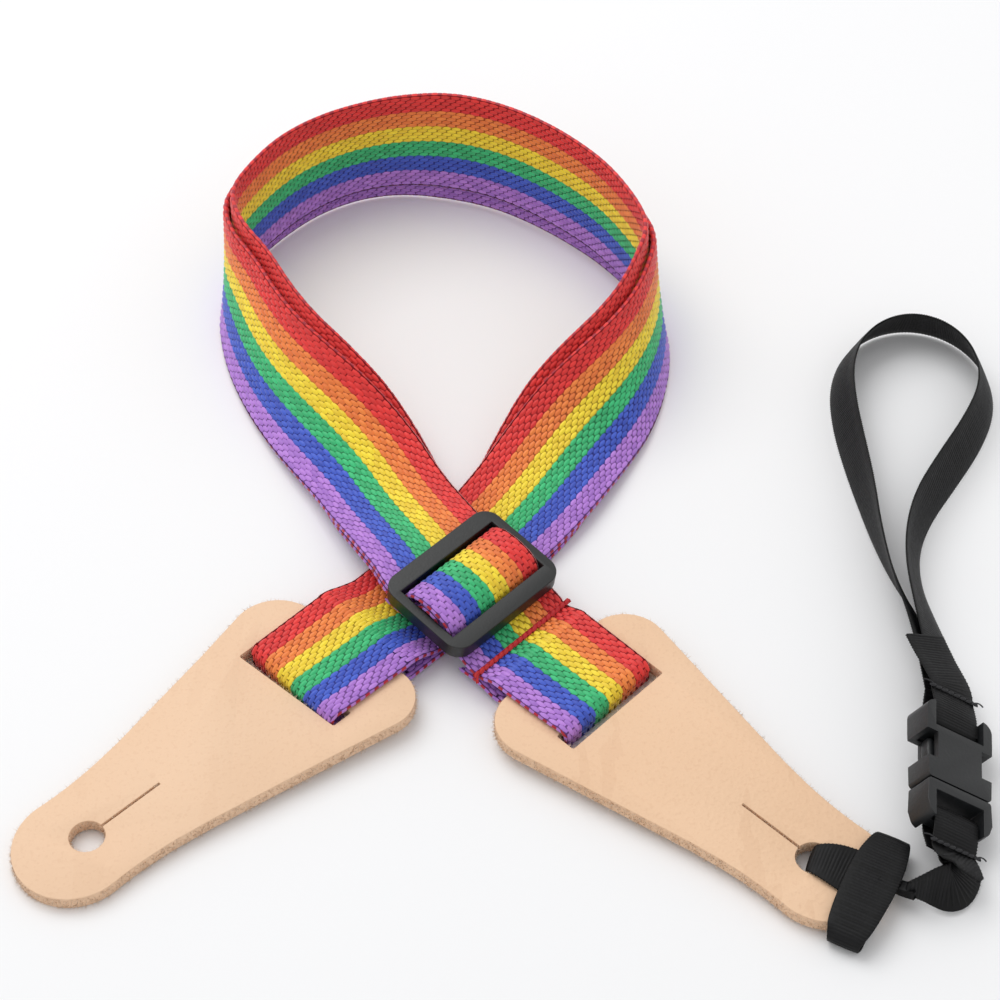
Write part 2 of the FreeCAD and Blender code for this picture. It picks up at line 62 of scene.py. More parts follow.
def placed(x, y, z, yaw, pitch, roll=0.0):
    turn = Euler((radians(roll), radians(pitch), radians(yaw)), "XYZ").to_matrix().to_4x4()
    return Matrix.Translation(Vector((x, y, z))) @ turn


leftTab = placed(-67.7, -86.2, 0.33, 43.5, -1.5)
rightTab = placed(67.3, -91.3, 0.93, 136.1, -1.0)
sliderPlace = placed(3.6, -29.0, 9.05, 135.9, -8.0)
bucklePlace = placed(90.42, -77.94, 6.9, -4.9, 31.5, 2.7)


# screen values 0 to 255, as the colour is seen
def shade(red, green, blue):
    def linear(value):
        value /= 255
        return value / 12.92 if value <= 0.04045 else ((value + 0.055) / 1.055) ** 2.4
    return (linear(red), linear(green), linear(blue), 1.0)


class Wire:
    def __init__(self, tree, socket=None):
        self.tree = tree
        self.socket = socket

    def node(self, kind, settings=None, sockets=None, output=0):
        made = self.tree.nodes.new(kind)
        for name, setting in (settings or {}).items():
            if name == "stops":
                ramp = made.color_ramp
                while len(ramp.elements) < len(setting):
                    ramp.elements.new(1.0)
                for element, (place, colour) in zip(ramp.elements, setting):
                    element.position = place
                    element.color = colour
            elif name == "interpolation":
                made.color_ramp.interpolation = setting
            else:
                setattr(made, name, setting)
        for name, value in (sockets or {}).items():
            if isinstance(value, Wire):
                self.tree.links.new(value.socket, made.inputs[name])
            else:
                made.inputs[name].default_value = value
        return Wire(self.tree, made.outputs[output])

    def maths(self, operation, first, second=0.0):
        return self.node("ShaderNodeMath", {"operation": operation}, {0: first, 1: second})

    def __add__(self, other):
        return self.maths("ADD", self, other)

    def __radd__(self, other):
        return self.maths("ADD", other, self)

    def __sub__(self, other):
        return self.maths("SUBTRACT", self, other)

    def __rsub__(self, other):
        return self.maths("SUBTRACT", other, self)

    def __mul__(self, other):
        return self.maths("MULTIPLY", self, other)

    def __rmul__(self, other):
        return self.maths("MULTIPLY", other, self)

    def __pow__(self, other):
        return self.maths("POWER", self, other)

    def __mod__(self, other):
        return self.maths("MODULO", self, other)

    def __lt__(self, other):
        return self.maths("LESS_THAN", self, other)

    def __gt__(self, other):
        return self.maths("GREATER_THAN", self, other)


def newMaterial(label, build, **constants):
    material = bpy.data.materials.new(label)
    material.use_nodes = True
    tree = material.node_tree
    surface = tree.nodes["Principled BSDF"]
    for name, value in constants.items():
        surface.inputs[name.replace("_", " ")].default_value = value
    for name, wire in build(Wire(tree)).items():
        tree.links.new(wire.socket, surface.inputs[name])
    return material


def mixed(wire, factor, first, second, blend="MIX"):
    return wire.node("ShaderNodeMix", {"data_type": "RGBA", "blend_type": blend},
                     {0: factor, 6: first, 7: second}, 2)


def noise(wire, scale, detail=3.0, stretch=None):
    place = wire.node("ShaderNodeTexCoord", output=3)
    if stretch:
        place = wire.node("ShaderNodeMapping", None, {"Vector": place, "Scale": stretch})
    return wire.node("ShaderNodeTexNoise", None, {"Vector": place, "Scale": scale, "Detail": detail})


def attribute(wire, name):
    return wire.node("ShaderNodeAttribute", {"attribute_name": name}, output=2)


def bump(wire, height, strength, distance):
    return wire.node("ShaderNodeBump", None, {"Height": height, "Strength": strength, "Distance": distance})


# width and pitches in millimetres, bands from the red edge
webbingValues = {
    "columns": 30, "pitch": 2.2, "floatLength": 2.12, "floatWidth": 0.93, "floatHeight": 0.3,
    "bed": 0.8, "width": 24.8, "barWidth": 24.4, "edgeColumn": 0.985, "usedWidth": 0.965, "footLevel": 0.48,
    "bands": [(0.0, (228, 42, 40)), (0.172, (244, 124, 52)), (0.338, (252, 216, 44)),
              (0.503, (44, 182, 112)), (0.668, (52, 82, 196)), (0.834, (172, 116, 214))],
}


def bandColour(wire):
    stops = [(place, shade(*colour)) for place, colour in webbingValues["bands"]]
    return wire.node("ShaderNodeValToRGB", {"interpolation": "CONSTANT", "stops": stops},
                     {"Fac": attribute(wire, "stripe")})


def floatLook(wire):
    tone = attribute(wire, "tone")
    colour = mixed(wire, attribute(wire, "weft"), bandColour(wire), shade(168, 20, 46))
    fine = noise(wire, 900, 2)
    colour = mixed(wire, tone * 0.42, colour, shade(255, 250, 240), "SOFT_LIGHT")
    colour = mixed(wire, (1 - tone) * 0.14, colour, shade(70, 30, 50), "MULTIPLY")
    return {"Base Color": colour, "Roughness": 0.4 + fine * 0.16,
            "Normal": bump(wire, fine, 0.25, 0.0002)}


def paintedShadeBedLook(wire):
    fine = noise(wire, 700, 2)
    # the bed between the floats is the band colours darkened towards a dark red-violet: painted shade between the
    # floats
    dark = mixed(wire, fine * 0.2 + 0.52, bandColour(wire), shade(40, 14, 26))
    return {"Base Color": dark, "Roughness": 0.6 + fine * 0.2, "Normal": bump(wire, fine, 0.5, 0.0002)}


def leatherLook(grainy):
    def build(wire):
        cloud = noise(wire, 26, 4)
        pore = noise(wire, 1500, 3)
        cell = wire.node("ShaderNodeTexVoronoi", None,
                         {"Vector": wire.node("ShaderNodeTexCoord", output=3), "Scale": 1100.0})
        streak = noise(wire, 95, 5, (1.0, 0.32, 1.0))
        colour = mixed(wire, cloud, shade(*grainy["dark"]), shade(*grainy["pale"]))
        colour = mixed(wire, (streak > 0.585) * grainy["streak"], colour, shade(204, 158, 122))
        colour = mixed(wire, (pore > 0.6) * 0.1, colour, shade(196, 146, 112))
        # cut faces (sides and underside) take a mottled grey-brown: the cut leather's own colour, darkened further as
        # painted shade on the side walls
        cutFaceAndPaintedShade = mixed(wire, pore, shade(138, 104, 78), shade(222, 190, 158))
        colour = mixed(wire, attribute(wire, "cut"), colour, cutFaceAndPaintedShade)
        height = pore * 0.5 + cell * 0.5 + streak * 0.4 + attribute(wire, "cut") * noise(wire, 2600, 2) * 2.5
        return {"Base Color": colour, "Roughness": 0.5 + cloud * 0.14 + attribute(wire, "cut") * 0.3,
                "Normal": bump(wire, height, grainy["bump"], 0.00025)}
    return build


def plasticLook(colour, worn, grain):
    def build(wire):
        fine = noise(wire, grain, 3)
        cloud = noise(wire, 60, 3)
        base = mixed(wire, cloud, shade(*colour), shade(*worn))
        return {"Base Color": base, "Roughness": 0.3 + fine * 0.16 + cloud * 0.06,
                "Normal": bump(wire, fine, 0.16, 0.0002)}
    return build


def ribbonLook(wire):
    fine = noise(wire, 1400, 2)
    tone = attribute(wire, "tone")
    base = mixed(wire, tone, shade(5, 5, 6), shade(17, 17, 19))
    return {"Base Color": base, "Roughness": 0.42 + fine * 0.2, "Normal": bump(wire, fine, 0.3, 0.0002)}


def threadLook(dark, pale):
    def build(wire):
        fine = noise(wire, 1900, 2)
        base = mixed(wire, fine, shade(*dark), shade(*pale))
        return {"Base Color": base, "Roughness": 0.55 + fine * 0.2, "Normal": bump(wire, fine, 0.4, 0.0002)}
    return build


leftGrain = {"dark": (232, 193, 158), "pale": (240, 207, 176), "streak": 0.05, "bump": 0.3}
rightGrain = {"dark": (228, 187, 150), "pale": (240, 205, 172), "streak": 0.12, "bump": 0.5}
floatMaterial = newMaterial("webbing_floats", floatLook, Sheen_Weight=0.25, Specular_IOR_Level=0.45)
bedMaterial = newMaterial("webbing_bed_painted_shade", paintedShadeBedLook, Specular_IOR_Level=0.2)
leftLeather = newMaterial("leather_left", leatherLook(leftGrain), Specular_IOR_Level=0.35)
rightLeather = newMaterial("leather_right", leatherLook(rightGrain), Specular_IOR_Level=0.35)
fibreMaterial = newMaterial("leather_fibres", threadLook((206, 170, 138), (246, 226, 204)))
sliderMaterial = newMaterial("slider_plastic", plasticLook((17, 19, 19), (27, 29, 29), 2400.0))
buckleMaterial = newMaterial("buckle_plastic", plasticLook((15, 16, 18), (26, 28, 30), 1800.0))
ribbonMaterial = newMaterial("ribbon_ribs", ribbonLook, Specular_IOR_Level=0.22)
redThread = newMaterial("red_thread", threadLook((150, 14, 26), (214, 44, 48)))
blackThread = newMaterial("black_thread", threadLook((14, 14, 16), (40, 40, 44)))
print("materials ready")


# a Geometry Nodes tree with named inputs
def newTree(label, inputs):
    tree = bpy.data.node_groups.new(label, "GeometryNodeTree")
    tree.interface.new_socket(name="Geometry", in_out="INPUT", socket_type="NodeSocketGeometry")
    for name, kind in inputs.items():
        tree.interface.new_socket(name=name, in_out="INPUT", socket_type=kind)
    tree.interface.new_socket(name="Geometry", in_out="OUTPUT", socket_type="NodeSocketGeometry")
    entry = tree.nodes.new("NodeGroupInput")
    given = {socket.name: Wire(tree, socket) for socket in entry.outputs if socket.name}
    return tree, Wire(tree), given


def endTree(tree, wire, geometry, material):
    geometry = wire.node("GeometryNodeRealizeInstances", None, {"Geometry": geometry})
    geometry = wire.node("GeometryNodeSetShadeSmooth", None, {"Geometry": geometry})
    geometry = wire.node("GeometryNodeSetMaterial", None, {"Geometry": geometry, "Material": material})
    last = tree.nodes.new("NodeGroupOutput")
    tree.links.new(geometry.socket, last.inputs["Geometry"])
    return tree


def threadTree():
    tree, wire, given = newTree("thread_floats", {
        "Count": "NodeSocketInt", "Every": "NodeSocketInt", "Length": "NodeSocketFloat",
        "Width": "NodeSocketFloat", "Height": "NodeSocketFloat", "Twist": "NodeSocketFloat",
        "Seed": "NodeSocketInt", "Material": "NodeSocketMaterial"})
    # one low dome, long along X
    dome = wire.node("GeometryNodeMeshGrid", None,
                     {"Size X": 1.0, "Size Y": 1.0, "Vertices X": 4, "Vertices Y": 4})
    place = wire.node("GeometryNodeInputPosition")
    x = wire.node("ShaderNodeSeparateXYZ", None, {0: place}, 0)
    y = wire.node("ShaderNodeSeparateXYZ", None, {0: place}, 1)
    lengthwise = 1 - (2 * x) ** 4.0
    height = lengthwise * (1 - (2 * y) ** 2.0)
    narrowed = y * (0.62 + lengthwise * 0.38)
    moved = wire.node("ShaderNodeCombineXYZ", None, {0: x, 1: narrowed, 2: height})
    dome = wire.node("GeometryNodeSetPosition", None, {"Geometry": dome, "Position": moved})
    curve = wire.node("GeometryNodeMeshToCurve", None, {"Mesh": given["Geometry"]})
    curve = wire.node("GeometryNodeResampleCurve", {"mode": "COUNT"}, {"Curve": curve, "Count": given["Count"]})
    order = wire.node("GeometryNodeSplineParameter", output=2)
    phase = wire.node("GeometryNodeInputNamedAttribute", {"data_type": "FLOAT"}, {"Name": "phase"})
    reach = wire.node("GeometryNodeInputNamedAttribute", {"data_type": "FLOAT"}, {"Name": "reach"})
    facing = wire.node("GeometryNodeInputNamedAttribute", {"data_type": "FLOAT_VECTOR"}, {"Name": "facing"})
    chosen = ((order + phase) % given["Every"]) < 0.5
    turn = wire.node("FunctionNodeAlignRotationToVector", {"axis": "X"},
                     {"Vector": wire.node("GeometryNodeInputTangent")})
    turn = wire.node("FunctionNodeAlignRotationToVector", {"axis": "Z", "pivot_axis": "X"},
                     {"Rotation": turn, "Vector": facing})
    twist = wire.node("ShaderNodeCombineXYZ", None, {0: 0.0, 1: 0.0, 2: given["Twist"]})
    turn = wire.node("FunctionNodeRotateRotation", {"rotation_space": "LOCAL"},
                     {"Rotation": turn, "Rotate By": twist})
    uneven = wire.node("FunctionNodeRandomValue", {"data_type": "FLOAT"},
                       {2: 0.9, 3: 1.08, "Seed": given["Seed"]}, 1)
    scale = wire.node("ShaderNodeCombineXYZ", None,
                      {0: given["Length"] * uneven, 1: given["Width"] * reach, 2: given["Height"] * uneven})
    floats = wire.node("GeometryNodeInstanceOnPoints", None,
                       {"Points": curve, "Selection": chosen, "Instance": dome, "Rotation": turn, "Scale": scale})
    tone = wire.node("FunctionNodeRandomValue", {"data_type": "FLOAT"},
                     {2: 0.0, 3: 1.0, "Seed": given["Seed"] + 7}, 1)
    floats = wire.node("GeometryNodeStoreNamedAttribute", {"data_type": "FLOAT", "domain": "INSTANCE"},
                       {"Geometry": floats, "Name": "tone", "Value": tone})
    return endTree(tree, wire, floats, given["Material"])


def fibreTree():
    tree, wire, given = newTree("cut_fibres", {
        "Density": "NodeSocketFloat", "Length": "NodeSocketFloat", "Thickness": "NodeSocketFloat",
        "Seed": "NodeSocketInt", "Material": "NodeSocketMaterial"})
    side = wire.node("GeometryNodeInputNamedAttribute", {"data_type": "FLOAT"}, {"Name": "side"})
    scatter = tree.nodes.new("GeometryNodeDistributePointsOnFaces")
    for name, value in (("Mesh", given["Geometry"]), ("Selection", side > 0.5),
                        ("Density", given["Density"]), ("Seed", given["Seed"])):
        tree.links.new(value.socket, scatter.inputs[name])
    hair = wire.node("GeometryNodeMeshCone", None, {"Vertices": 3, "Radius Bottom": given["Thickness"],
                                                    "Depth": given["Length"]})
    wild = wire.node("FunctionNodeRandomValue", {"data_type": "FLOAT_VECTOR"},
                     {0: (-0.9, -0.9, -3.0), 1: (0.9, 0.9, 3.0), "Seed": given["Seed"] + 3})
    turn = wire.node("FunctionNodeRotateRotation", {"rotation_space": "LOCAL"},
                     {"Rotation": Wire(tree, scatter.outputs["Rotation"]), "Rotate By": wild})
    size = wire.node("FunctionNodeRandomValue", {"data_type": "FLOAT"},
                     {2: 0.4, 3: 1.3, "Seed": given["Seed"] + 5}, 1)
    hairs = wire.node("GeometryNodeInstanceOnPoints", None,
                      {"Points": Wire(tree, scatter.outputs["Points"]), "Instance": hair, "Rotation": turn,
                       "Scale": size})
    return endTree(tree, wire, hairs, given["Material"])


threads = threadTree()
fibres = fibreTree()


def applied(label, mesh, tree, values):
    holder = bpy.data.objects.new(label, mesh)
    scene.collection.objects.link(holder)
    modifier = holder.modifiers.new("repeat", "NODES")
    modifier.node_group = tree
    for item in tree.interface.items_tree:
        if item.item_type == "SOCKET" and item.in_out == "INPUT" and item.name in values:
            modifier[item.identifier] = values[item.name]
    bpy.context.view_layer.update()
    graph = bpy.context.evaluated_depsgraph_get()
    result = bpy.data.meshes.new_from_object(holder.evaluated_get(graph), preserve_all_data_layers=True,
                                             depsgraph=graph)
    bpy.data.objects.remove(holder)
    return result


def newPiece(label, mesh, *materials):
    piece = bpy.data.objects.new(label, mesh)
    scene.collection.objects.link(piece)
    for material in materials:
        if material.name not in mesh.materials:
            mesh.materials.append(material)
    return piece


def joined(pieces):
    with bpy.context.temp_override(active_object=pieces[0], object=pieces[0], selected_objects=pieces,
                                   selected_editable_objects=pieces):
        bpy.ops.object.join()
    return pieces[0]


# points along a route, as the CAD source strings them
def readLine(points, steps):
    line = bpy.data.curves.new("route", "CURVE")
    line.dimensions = "3D"
    spline = line.splines.new("NURBS")
    spline.points.add(len(points) - 1)
    for knot, place in zip(spline.points, points):
        knot.co = (*place, 1)
    spline.order_u = 3
    spline.use_endpoint_u = True
    spline.resolution_u = steps
    holder = bpy.data.objects.new("route", line)
    scene.collection.objects.link(holder)
    mesh = bpy.data.meshes.new_from_object(holder)
    found = [vertex.co.copy() for vertex in mesh.vertices]
    bpy.data.objects.remove(holder)
    return found


class Route:
    def __init__(self, points, acrosses, spans, steps=6):
        points = [(point + centring) * mm for point in points]
        if not hasattr(spans, "__len__"):
            spans = [spans] * len(points)
        edges = [point + across.normalized() * span * mm / 2
                 for point, across, span in zip(points, acrosses, spans)]
        self.middle = readLine(points, steps)
        edge = readLine(edges, steps)
        self.reach = [(b - a).length for a, b in zip(self.middle, edge)]
        self.across, self.facing, self.along = [], [], []
        walked = 0.0
        last = len(self.middle) - 1
        for index, place in enumerate(self.middle):
            ahead = self.middle[min(index + 1, last)] - self.middle[max(index - 1, 0)]
            ahead.normalize()
            facing = ahead.cross(edge[index] - place).normalized()
            self.facing.append(facing)
            self.across.append(facing.cross(ahead).normalized())
            walked += (place - self.middle[index - 1]).length if index else 0.0
            self.along.append(walked)
        self.length = walked

    def at(self, index, side, lift):
        return self.middle[index] + self.across[index] * self.reach[index] * side + self.facing[index] * lift


profile = [(-1.0, 0.0), (-0.985, 0.62), (-0.95, 1.0), (-0.6, 1.0), (-0.2, 1.0), (0.2, 1.0), (0.6, 1.0),
           (0.95, 1.0), (0.985, 0.62), (1.0, 0.0), (0.985, -0.62), (0.95, -1.0), (0.6, -1.0), (0.2, -1.0),
           (-0.2, -1.0), (-0.6, -1.0), (-0.95, -1.0), (-0.985, -0.62)]


def bedMesh(label, route, thickness, redSide):
    shape = bmesh.new()
    stripe = shape.verts.layers.float.new("stripe")
    rings = []
    for index in range(len(route.middle)):
        ring = []
        for side, lift in profile:
            vertex = shape.verts.new(route.at(index, side * webbingValues["edgeColumn"], lift * thickness / 2))
            vertex[stripe] = (1 - side * redSide) / 2 * 0.998
            ring.append(vertex)
        rings.append(ring)
    count = len(profile)
    for near, far in zip(rings, rings[1:]):
        for index in range(count):
            after = (index + 1) % count
            shape.faces.new((near[index], far[index], far[after], near[after]))
    shape.faces.new(rings[0])
    shape.faces.new(list(reversed(rings[-1])))
    bmesh.ops.recalc_face_normals(shape, faces=shape.faces)
    mesh = bpy.data.meshes.new(label)
    shape.to_mesh(mesh)
    shape.free()
    mesh.shade_smooth()
    return mesh


def threadLines(label, route, lines):
    places, edges = [], []
    values = {"stripe": [], "phase": [], "reach": [], "weft": []}
    facings = []
    for side, lift, facing, stripe, phase, reach, weft in lines:
        start = len(places)
        for index in range(len(route.middle)):
            outward = route.facing[index] * facing if facing else route.across[index] * (1 if side > 0 else -1)
            places.append(route.at(index, side, 0.0) + (route.facing[index] * lift if facing else Vector()))
            facings.extend(outward)
            for name, value in (("stripe", stripe), ("phase", phase), ("weft", weft)):
                values[name].append(value)
            values["reach"].append(route.reach[index] * 2 if reach is None else reach)
            if index:
                edges.append((start + index - 1, start + index))
    mesh = bpy.data.meshes.new(label)
    mesh.from_pydata(places, edges, [])
    for name, found in values.items():
        mesh.attributes.new(name, "FLOAT", "POINT").data.foreach_set("value", found)
    mesh.attributes.new("facing", "FLOAT_VECTOR", "POINT").data.foreach_set("vector", facings)
    return mesh


def woven(label, route, redSide, seed):
    values = webbingValues
    bed = values["bed"] * mm
    lines = []
    columns = values["columns"]
    for face in (1, -1):
        for column in range(columns):
            side = ((column + 0.5) / columns * 2 - 1) * values["usedWidth"]
            stripe = (1 - side * redSide) / 2
            lines.append((side, face * bed * values["footLevel"], face, stripe, (column + (face < 0)) % 2, 1.0, 0.0))
    for side in (-values["edgeColumn"], values["edgeColumn"]):  # selvages, with a red weft between the floats
        stripe = (1 - side * redSide) / 2
        lines.append((side, 0.0, 0, stripe, 0, 0.9, 0.0))
        lines.append((side, 0.0, 0, stripe, 1, 0.8, 1.0))
    count = 2 * round(route.length / mm / values["pitch"]) + 1
    mesh = applied(label + "_floats", threadLines(label + "_lines", route, lines), threads, {
        "Count": count, "Every": 2, "Length": values["floatLength"] * mm, "Width": values["floatWidth"] * mm,
        "Height": values["floatHeight"] * mm, "Twist": 0.0, "Seed": seed, "Material": floatMaterial})
    base = newPiece(label, bedMesh(label, route, bed, redSide), bedMaterial)
    return joined([base, newPiece(label + "_floats", mesh, floatMaterial)])


ribbonValues = {"bed": 0.4, "pitch": 0.62, "ribLength": 0.6, "ribHeight": 0.12, "ribReach": 0.985, "width": 10.0}


def ribbed(label, route, seed, thickness=ribbonValues["bed"]):
    values = ribbonValues
    bed = thickness * mm
    lines = [(0.0, face * bed * webbingValues["footLevel"], face, 0.0, 0, None, 0.0) for face in (1, -1)]
    count = round(route.length / mm / values["pitch"]) + 1
    mesh = applied(label + "_ribs", threadLines(label + "_lines", route, lines), threads, {
        "Count": count, "Every": 1, "Length": values["ribLength"] * mm, "Width": values["ribReach"],
        "Height": values["ribHeight"] * mm, "Twist": 0.0, "Seed": seed, "Material": ribbonMaterial})
    base = newPiece(label, bedMesh(label, route, bed, 1), ribbonMaterial)
    return joined([base, newPiece(label + "_ribs", mesh, ribbonMaterial)])


# strip rows to points and directions across; turn -1 puts the leaning edge on the other side
def turned(rows, turn=1):
    points = [Vector(row[:3]) for row in rows]
    acrosses = []
    for index, row in enumerate(rows):
        ahead = points[min(index + 1, len(rows) - 1)] - points[max(index - 1, 0)]
        flat = Vector((ahead.x, ahead.y, 0)).normalized()
        inside = Vector((-flat.y, flat.x, 0)) * turn
        lean = radians(row[3])
        acrosses.append(inside * cos(lean) + Vector((0, 0, sin(lean))))
    return points, acrosses


# doubled webbing loop: x, y, z, lean, drop to the inner layer, its rise
loopRows = [
    (-16.6, -37.6, 5.75, 0, 4.4, 0),
    (-15.2, -36.1, 5.3, 0, 4.0, 0),
    (-13.8, -34.6, 4.2, 0, 3.0, 0),
    (-12.3, -32.9, 3.05, 0, 2.05, 0),
    (-10.7, -31.4, 2.4, 0, 1.6, 0),
    (-5.5, -25.6, 2.4, 0, 1.6, 0),
    (-0.5, -19.8, 2.35, 0, 1.6, 0),
    (4.3, -14.2, 2.4, 0, 1.6, 0),
    (8.5, -9.1, 2.45, 0, 1.6, 0),
    (12.8, -3.9, 3.3, 3, 1.9, 0.2),
    (16.8, 1.5, 4.3, 7, 2.1, 0.6),
    (21.2, 8.0, 5.6, 15, 2.2, 1.4),
    (26.4, 14.9, 7.7, 31, 2.3, 2.2),
    (32.0, 21.2, 10.0, 48, 2.2, 2.4),
    (37.2, 28.6, 11.6, 62, 2.1, 2.6),
    (40.8, 36.8, 12.2, 71, 2.0, 3.0),
    (42.7, 46.0, 12.6, 78, 1.9, 3.4),
    (42.5, 54.6, 12.8, 87, 1.8, 3.8),
    (38.8, 62.4, 12.8, 91, 1.7, 4.0),
    (32.5, 72.3, 12.8, 94, 1.6, 4.2),
    (25.1, 80.2, 12.8, 96, 1.6, 4.2),
    (16.6, 87.2, 12.9, 97, 1.6, 4.2),
    (7.5, 92.6, 12.9, 97, 1.6, 4.2),
    (-2.1, 95.6, 12.9, 97, 1.6, 4.2),
    (-12.3, 96.3, 12.9, 92, 1.6, 4.2),
    (-21.9, 94.5, 12.9, 90, 1.6, 4.0),
    (-31.2, 89.9, 12.9, 91, 1.6, 3.8),
    (-39.2, 82.8, 12.9, 93, 1.6, 3.6),
    (-45.4, 74.3, 12.8, 92, 1.6, 3.4),
    (-50.2, 65.4, 12.9, 90, 1.8, 3.2),
    (-50.0, 56.2, 12.8, 82, 1.9, 3.0),
    (-46.7, 47.2, 12.2, 69, 2.0, 2.8),
    (-43.1, 37.8, 11.7, 63, 2.1, 2.6),
    (-38.3, 28.8, 11.2, 57, 2.1, 2.4),
    (-31.9, 20.6, 10.1, 46, 2.2, 2.2),
    (-25.0, 13.4, 8.0, 28, 2.3, 1.8),
    (-18.7, 6.1, 5.6, 12, 2.2, 1.0),
    (-15.3, 0.3, 5.0, 5, 1.9, 0.4),
    (-12.2, -5.0, 5.3, 1, 1.6, 0),
    (-9.6, -9.6, 6.3, 0, 1.6, 0),
    (-7.2, -13.8, 7.1, 0, 1.6, 0),
    (-4.9, -17.6, 7.6, 0, 1.6, 0),
]


def onSlider(x, z, y=0.0):
    return sliderPlace @ Vector((x, y, z))


loopPoints, loopAcross = turned(loopRows)
sliderAcross = sliderPlace.to_3x3() @ Vector((0, 1, 0))
outerPoints = loopPoints + [onSlider(9.6, -2.6, -0.5), onSlider(7.5, -2.6, -0.2)]
outerAcross = loopAcross + [-sliderAcross, -sliderAcross]
innerPoints = []
for index, row in enumerate(loopRows):
    ahead = loopPoints[min(index + 1, len(loopRows) - 1)] - loopPoints[max(index - 1, 0)]
    ahead.z = 0
    outward = ahead.cross(loopAcross[index]).normalized()
    innerPoints.append(loopPoints[index] - outward * row[4] + loopAcross[index] * row[5])
innerPoints += [onSlider(9.6, -4.2, -0.5), onSlider(7.8, -4.2, -0.2)]

outerRoute = Route(outerPoints, outerAcross, webbingValues["width"])
innerRoute = Route(innerPoints, outerAcross, webbingValues["width"])
for label, route, seed in (("webbing_outer", outerRoute, 3), ("webbing_inner", innerRoute, 11)):
    piece = woven(label, route, 1, seed)
    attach(piece, "webbing")
    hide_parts(label + "_layer")
print("webbing loop ready")

# ribbon loop: x, y, z, lean
headRows = [
    (92.6, -54.0, 5.7, 148),
    (91.8, -46.5, 5.6, 140),
    (89.8, -36.5, 5.6, 125),
    (86.4, -26.0, 5.6, 108),
    (84.2, -14.0, 5.4, 92),
    (83.0, -2.0, 5.2, 78),
    (81.6, 10.0, 5.0, 70),
    (80.6, 21.0, 5.0, 66),
    (80.9, 31.5, 5.0, 65),
    (83.8, 40.0, 5.0, 65),
    (89.4, 46.2, 5.0, 65),
    (96.5, 48.6, 5.0, 66),
    (103.4, 46.8, 5.0, 66),
    (108.6, 41.6, 5.0, 66),
    (111.3, 34.0, 5.0, 66),
    (110.9, 25.0, 5.0, 65),
    (106.6, 15.2, 4.9, 62),
    (99.9, 4.4, 4.9, 62),
    (94.2, -5.0, 5.0, 66),
    (90.9, -14.0, 5.2, 70),
    (90.0, -23.5, 5.3, 66),
    (91.3, -33.5, 5.2, 56),
    (93.0, -43.5, 4.9, 44),
    (93.6, -52.0, 4.5, 32),
    (93.0, -55.2, 4.4, 32),
]
headRoute = Route(*turned(headRows, -1), ribbonValues["width"])
headLoop = ribbed("head_loop", headRoute, 5)
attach(headLoop, "socket")
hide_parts("ribbon_head_loop")
print("ribbon loop ready")


def finishStrip(piece, body, slotName, *nodes):
    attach(piece, body)
    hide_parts(*nodes)
    return piece


# webbing through the tabs' slots, in a tab's own frame: along the tab, height
turnRows = [(70.2, 3.6), (66.0, 3.55), (58.0, 3.6), (54.4, 3.75), (53.2, 3.5), (52.95, 2.6), (52.95, 0.2),
            (53.2, -0.75), (54.4, -0.95), (58.0, -0.8), (70.2, -0.8)]
turnSpans = [24.8, 24.6, 24.2, 23.8, 23.6, 23.4, 23.4, 23.6, 23.8, 24.2, 24.6]
turnValues = {"slackFrom": 57, "hingeAt": 70.2, "blendFrom": 65.2, "hingeHeight": 3.6}
for label, place, slack, redSide in (("left", leftTab, 1.25, 1), ("right", rightTab, 0.0, -1)):
    wide = place.to_3x3() @ Vector((0, 1, 0))
    points = [place @ Vector((x - (slack if x < turnValues["slackFrom"] else 0), 0, z)) for x, z in turnRows]
    piece = woven("webbing_turn_" + label, Route(points, [wide] * len(points), turnSpans, 8), redSide, 17)
    hinge = (place @ Vector((turnValues["hingeAt"], 0, turnValues["hingeHeight"])) + centring) * mm
    start = (place @ Vector((turnValues["blendFrom"], 0, turnValues["hingeHeight"])) + centring) * mm
    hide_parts("webbing_turn_" + label)
    "tab_" + label
    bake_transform(piece)

# round the slider's bars, in its own frame: along the strap, height
humpRows = [(7.0, -2.55), (6.3, -1.4), (6.0, 0.3), (5.1, 1.8), (3.4, 2.8), (1.1, 3.2),
            (-1.1, 3.2), (-3.4, 2.8), (-5.1, 1.8), (-6.0, 0.3), (-6.3, -1.4), (-7.1, -2.6)]
barRows = [(6.8, -4.1), (5.1, -3.5), (3.5, -2.3), (2.5, -0.7), (2.45, 0.5), (1.75, 1.45), (0.0, 1.6),
           (-1.75, 1.45), (-2.45, 0.5), (-2.45, -0.6), (-1.7, -1.8), (0.0, -2.7), (2.5, -4.4), (5.4, -5.7),
           (8.0, -5.95), (10.2, -6.0)]
humpRoute = Route([onSlider(x, z) for x, z in humpRows], [sliderAcross] * len(humpRows), webbingValues["barWidth"], 8)
finishStrip(woven("webbing_hump", humpRoute, -1, 23), "slider", "webbing", "webbing_hump")
barRoute = Route([onSlider(x, z) for x, z in barRows], [sliderAcross] * len(barRows), webbingValues["barWidth"])
finishStrip(woven("webbing_bar_loop", barRoute, -1, 29), "slider", "webbing", "webbing_bar_loop")

tabAxis = Vector((cos(radians(136.1)), sin(radians(136.1)), 0))
tabTip = Vector((67.3, -91.3, 0))
tabAcross = Vector((-tabAxis.y, tabAxis.x, 0))


def alongTab(distance, height, side=0.0):
    return tabTip + tabAxis * distance + tabAcross * side + Vector((0, 0, height))


